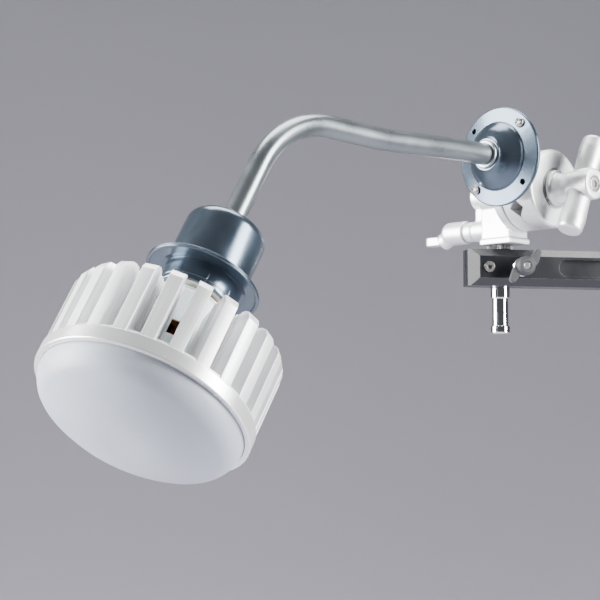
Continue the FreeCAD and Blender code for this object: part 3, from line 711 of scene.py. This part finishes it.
def sweep_floor(stage):
    """Plain floor that turns up into a backdrop far behind the lamp."""
    heading = stage.camera_azimuth
    away = Vector((math.sin(heading), math.cos(heading), 0.0))
    side = Vector((math.cos(heading), -math.sin(heading), 0.0))
    middle = Vector((*FLOOR_MIDDLE, stage.floor_height))
    profile = [(FLOOR_FRONT, 0.0)]
    for step in range(FLOOR_CURVE_STEPS + 1):
        turn = math.radians(90.0 * step / FLOOR_CURVE_STEPS)
        profile.append((FLOOR_CURVE_START + FLOOR_CURVE_RADIUS * math.sin(turn),
                        FLOOR_CURVE_RADIUS * (1 - math.cos(turn))))
    profile.append((FLOOR_CURVE_START + FLOOR_CURVE_RADIUS, BACKDROP_TOP))
    points = []
    for reach, rise in profile:
        for half in (-FLOOR_HALF_WIDTH, FLOOR_HALF_WIDTH):
            points.append(middle + away * reach + side * half + Vector((0, 0, rise)))
    faces = [(2 * i, 2 * i + 1, 2 * i + 3, 2 * i + 2) for i in range(len(profile) - 1)]
    mesh = bpy.data.meshes.new("floor")
    mesh.from_pydata(points, [], faces)
    mesh.shade_smooth()
    mesh.materials.append(finish("floor_paint", tuple(stage.floor_tint), metallic=0.0, roughness=0.8,
                                 grain=300.0, depth=0.02, dust=0.0, mottle=0.01))
    floor = bpy.data.objects.new("floor", mesh)
    bpy.context.scene.collection.objects.link(floor)


def light_world(scene):
    world = bpy.data.worlds.new("studio")
    world.use_nodes = True
    background = world.node_tree.nodes["Background"]
    background.inputs["Color"].default_value = WORLD_COLOUR
    background.inputs["Strength"].default_value = WORLD_STRENGTH
    scene.world = world


def light_lamp(stage, away, level, side):
    """Soft boxes at both sides and overhead, and a low strip light for the backdrop."""
    up = Vector((0.0, 0.0, 1.0))
    for name, across, farther, rise, width, height, power in (
            ("key", -1.5, -0.15, 0.3, 1.0, 1.6, stage.key_power),
            ("fill", 1.5, -0.55, 0.35, 0.6, 1.6, stage.fill_power),
            ("top", 0.0, 0.35, 1.4, 1.5, 0.8, stage.top_power)):
        soft_light(name, AIM + side * across + away * farther + up * rise, AIM, width, height, power)
    soft_light("backdrop", AIM + level * 2.1 - up * 0.54, AIM + level * 3.2 - up * 0.1, 3.2, 0.12,
               stage.backdrop_power, 150.0)


def place_camera(scene, stage, away):
    data = bpy.data.cameras.new("camera")
    data.sensor_width = 36.0
    data.lens = stage.lens
    data.clip_start = 0.05
    data.clip_end = 60.0
    camera = bpy.data.objects.new("camera", data)
    camera.location = Vector(JOINTS["head_swivel"]["pos_m"]) + EYE_FROM_STUD
    camera.rotation_mode = "QUATERNION"
    camera.rotation_quaternion = away.to_track_quat("-Z", "Y")
    scene.collection.objects.link(camera)
    scene.camera = camera


class LAMP_OT_stage(bpy.types.Operator):
    """Floor, soft studio light and camera"""
    bl_idname = "lamp.stage"
    bl_label = "Stage"

    def execute(self, context):
        stage = context.scene.lamp_stage
        heading = stage.camera_azimuth
        pitch = stage.camera_pitch
        level = Vector((math.sin(heading), math.cos(heading), 0.0))
        side = Vector((math.cos(heading), -math.sin(heading), 0.0))
        away = level * math.cos(pitch) + Vector((0.0, 0.0, math.sin(pitch)))
        sweep_floor(stage)
        light_world(context.scene)
        light_lamp(stage, away, level, side)
        place_camera(context.scene, stage, away)
        return {"FINISHED"}


class LAMP_PT_panel(bpy.types.Panel):
    """Lists the lamp's build steps and settings"""
    bl_idname = "LAMP_PT_panel"
    bl_label = "Clamp-Mounted Lamp"
    bl_space_type = "VIEW_3D"
    bl_region_type = "UI"
    bl_category = "Lamp"

    def draw(self, context):
        for operator in OPERATORS:
            self.layout.operator(operator.bl_idname)
        scene = context.scene
        for group in (scene.lamp_finishes, scene.lamp_shapes, scene.lamp_stage):
            box = self.layout.box()
            for name in group.__annotations__:
                box.prop(group, name)


OPERATORS = (LAMP_OT_finishes, LAMP_OT_castings, LAMP_OT_housing, LAMP_OT_heat_sink, LAMP_OT_fittings,
             LAMP_OT_stage)
CLASSES = (LampFinishes, LampShapes, LampStage, *OPERATORS, LAMP_PT_panel)


def register():
    for item in CLASSES:
        bpy.utils.register_class(item)
    bpy.types.Scene.lamp_finishes = PointerProperty(type=LampFinishes)
    bpy.types.Scene.lamp_shapes = PointerProperty(type=LampShapes)
    bpy.types.Scene.lamp_stage = PointerProperty(type=LampStage)


def unregister():
    del bpy.types.Scene.lamp_stage
    del bpy.types.Scene.lamp_shapes
    del bpy.types.Scene.lamp_finishes
    for item in reversed(CLASSES):
        bpy.utils.unregister_class(item)


def main():
    register()
    for operator in OPERATORS:
        area, _, name = operator.bl_idname.partition(".")
        getattr(getattr(bpy.ops, area), name)()


if __name__ == "__main__":
    main()
